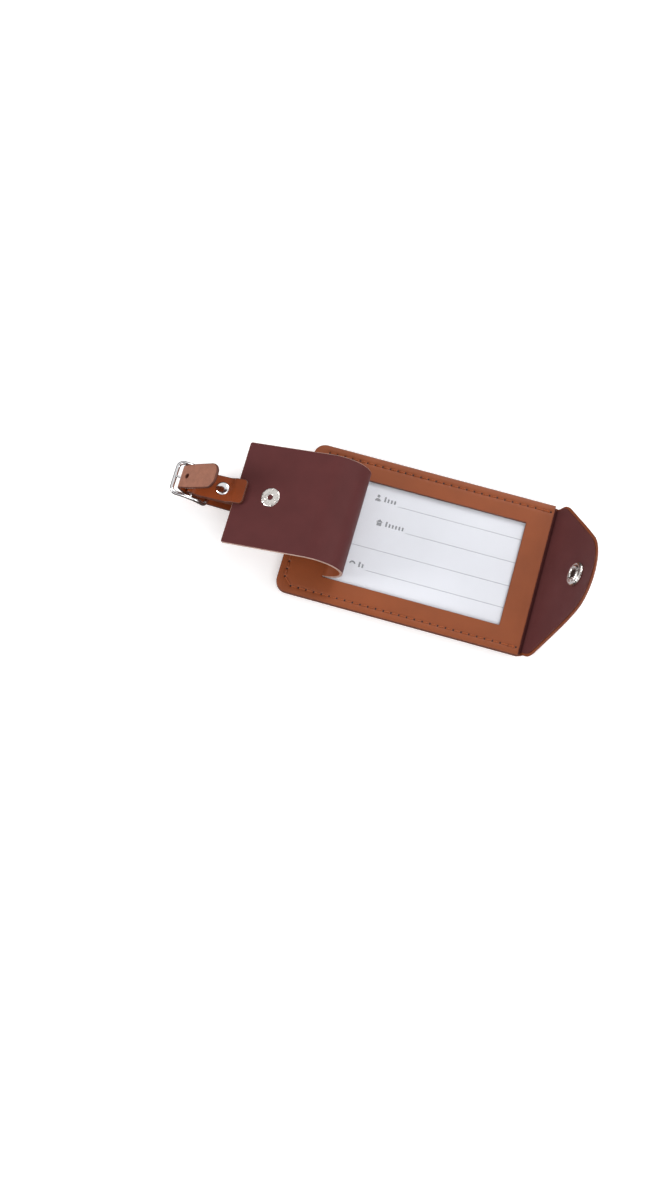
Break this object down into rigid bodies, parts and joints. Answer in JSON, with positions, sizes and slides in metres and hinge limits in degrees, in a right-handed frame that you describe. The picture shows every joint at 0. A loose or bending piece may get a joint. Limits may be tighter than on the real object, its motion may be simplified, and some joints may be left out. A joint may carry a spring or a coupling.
{
  "type": "luggage tag",
  "caption": "Leather luggage tag: sewn body with a clear window, a lift-up window cover, a snap-down closing flap and a buckled strap.",
  "frame": {"origin": "centre of the tag's back face, midway along its body", "axes": "+X across the tag, +Y along it towards the strap, +Z out of its front"},
  "size_m": [0.07, 0.1878, 0.0413],
  "materials": {
    "brown_leather": "smooth, semi-matte, fine grain",
    "strap_leather": "smooth front, lighter suede-like underside",
    "wine_lining": "matt lining sheet",
    "clear_film": "clear gloss film",
    "card": "matt paper",
    "thread": "twisted thread",
    "nickel": "bright nickel plate"
  },
  "bodies": {
    "tag_body": {"back_panel": "brown_leather", "back_lining": "wine_lining", "front_lining": "wine_lining", "front_panel": "brown_leather", "window_film": "clear_film", "seam_thread_front": "thread", "seam_thread_back": "thread"},
    "closing_flap": {"flap_leather": "brown_leather", "flap_lining": "wine_lining", "snap_cap": "nickel", "snap_socket": "nickel"},
    "cover_bend_1": {"cover_leather_1": "brown_leather", "cover_lining_1": "wine_lining"},
    "cover_bend_2": {"cover_leather_2": "brown_leather", "cover_lining_2": "wine_lining"},
    "cover_bend_3": {"cover_leather_3": "brown_leather", "cover_lining_3": "wine_lining"},
    "cover_bend_4": {"cover_leather_4": "brown_leather", "cover_lining_4": "wine_lining"},
    "cover_bend_5": {"cover_leather_5": "brown_leather", "cover_lining_5": "wine_lining"},
    "cover_bend_6": {"cover_leather_6": "brown_leather", "cover_lining_6": "wine_lining"},
    "cover_free": {"cover_leather_free": "brown_leather", "cover_lining_free": "wine_lining", "snap_stud": "nickel", "snap_stud_rim": "nickel"},
    "strap": {"strap_loop": "strap_leather", "rivet_front_cap": "nickel", "rivet_post": "nickel"},
    "strap_tail": {"strap_tail": "strap_leather"},
    "buckle_frame": {"buckle_frame": "nickel", "buckle_bar": "nickel"},
    "buckle_prong": {"buckle_prong": "nickel"},
    "name_card": {"name_card": "card"}
  },
  "joints": [
    {"name": "flap_fold", "type": "hinge", "parent": "tag_body", "child": "closing_flap", "pos_m": [0, -0.055, 0.00235], "axis": [-1, 0, 0], "range_deg": [-62, 112]},
    {"name": "cover_curl_1", "type": "hinge", "parent": "tag_body", "child": "cover_bend_1", "pos_m": [0, 0.0357, 0.0027], "axis": [1, 0, 0], "range_deg": [0, 20]},
    {"name": "cover_curl_2", "type": "hinge", "parent": "cover_bend_1", "child": "cover_bend_2", "pos_m": [0, 0.0326, 0.00383], "axis": [1, 0, 0], "range_deg": [0, 29.8]},
    {"name": "cover_curl_3", "type": "hinge", "parent": "cover_bend_2", "child": "cover_bend_3", "pos_m": [0, 0.02834, 0.00887], "axis": [1, 0, 0], "range_deg": [0, 29.8]},
    {"name": "cover_curl_4", "type": "hinge", "parent": "cover_bend_3", "child": "cover_bend_4", "pos_m": [0, 0.02715, 0.01536], "axis": [1, 0, 0], "range_deg": [0, 29.8]},
    {"name": "cover_curl_5", "type": "hinge", "parent": "cover_bend_4", "child": "cover_bend_5", "pos_m": [0, 0.02934, 0.02158], "axis": [1, 0, 0], "range_deg": [0, 29.8]},
    {"name": "cover_curl_6", "type": "hinge", "parent": "cover_bend_5", "child": "cover_bend_6", "pos_m": [0, 0.03434, 0.02589], "axis": [1, 0, 0], "range_deg": [0, 29.8]},
    {"name": "cover_curl_7", "type": "hinge", "parent": "cover_bend_6", "child": "cover_free", "pos_m": [0, 0.04081, 0.02715], "axis": [1, 0, 0], "range_deg": [0, 29.8]},
    {"name": "card_slide", "type": "slide", "parent": "tag_body", "child": "name_card", "axis": [0, 1, 0], "range_m": [-0.0045, 0.001]},
    {"name": "strap_swing", "type": "hinge", "parent": "tag_body", "child": "strap", "pos_m": [0, 0.0478, 0.00165], "axis": [0, 0, 1], "range_deg": [-6, 6]},
    {"name": "tail_fold", "type": "hinge", "parent": "strap", "child": "strap_tail", "pos_m": [0, 0.10675, 0.0138], "axis": [-1, 0, 0], "range_deg": [-10, 157]},
    {"name": "buckle_tilt", "type": "hinge", "parent": "strap", "child": "buckle_frame", "pos_m": [0, 0.101, 0.01017], "axis": [-1, 0, 0], "range_deg": [-4, 30.5]},
    {"name": "prong_lift", "type": "hinge", "parent": "buckle_frame", "child": "buckle_prong", "pos_m": [0, 0.101, 0.01017], "axis": [1, 0, 0], "range_deg": [0, 8]}
  ],
  "couplings": [
    {"joint": "cover_curl_1", "follows": "cover_curl_2", "ratio": 0.6711},
    {"joint": "cover_curl_3", "follows": "cover_curl_2", "ratio": 1},
    {"joint": "cover_curl_4", "follows": "cover_curl_2", "ratio": 1},
    {"joint": "cover_curl_5", "follows": "cover_curl_2", "ratio": 1},
    {"joint": "cover_curl_6", "follows": "cover_curl_2", "ratio": 1},
    {"joint": "cover_curl_7", "follows": "cover_curl_2", "ratio": 1},
    {"joint": "buckle_tilt", "follows": "tail_fold", "ratio": 0.1911}
  ]
}
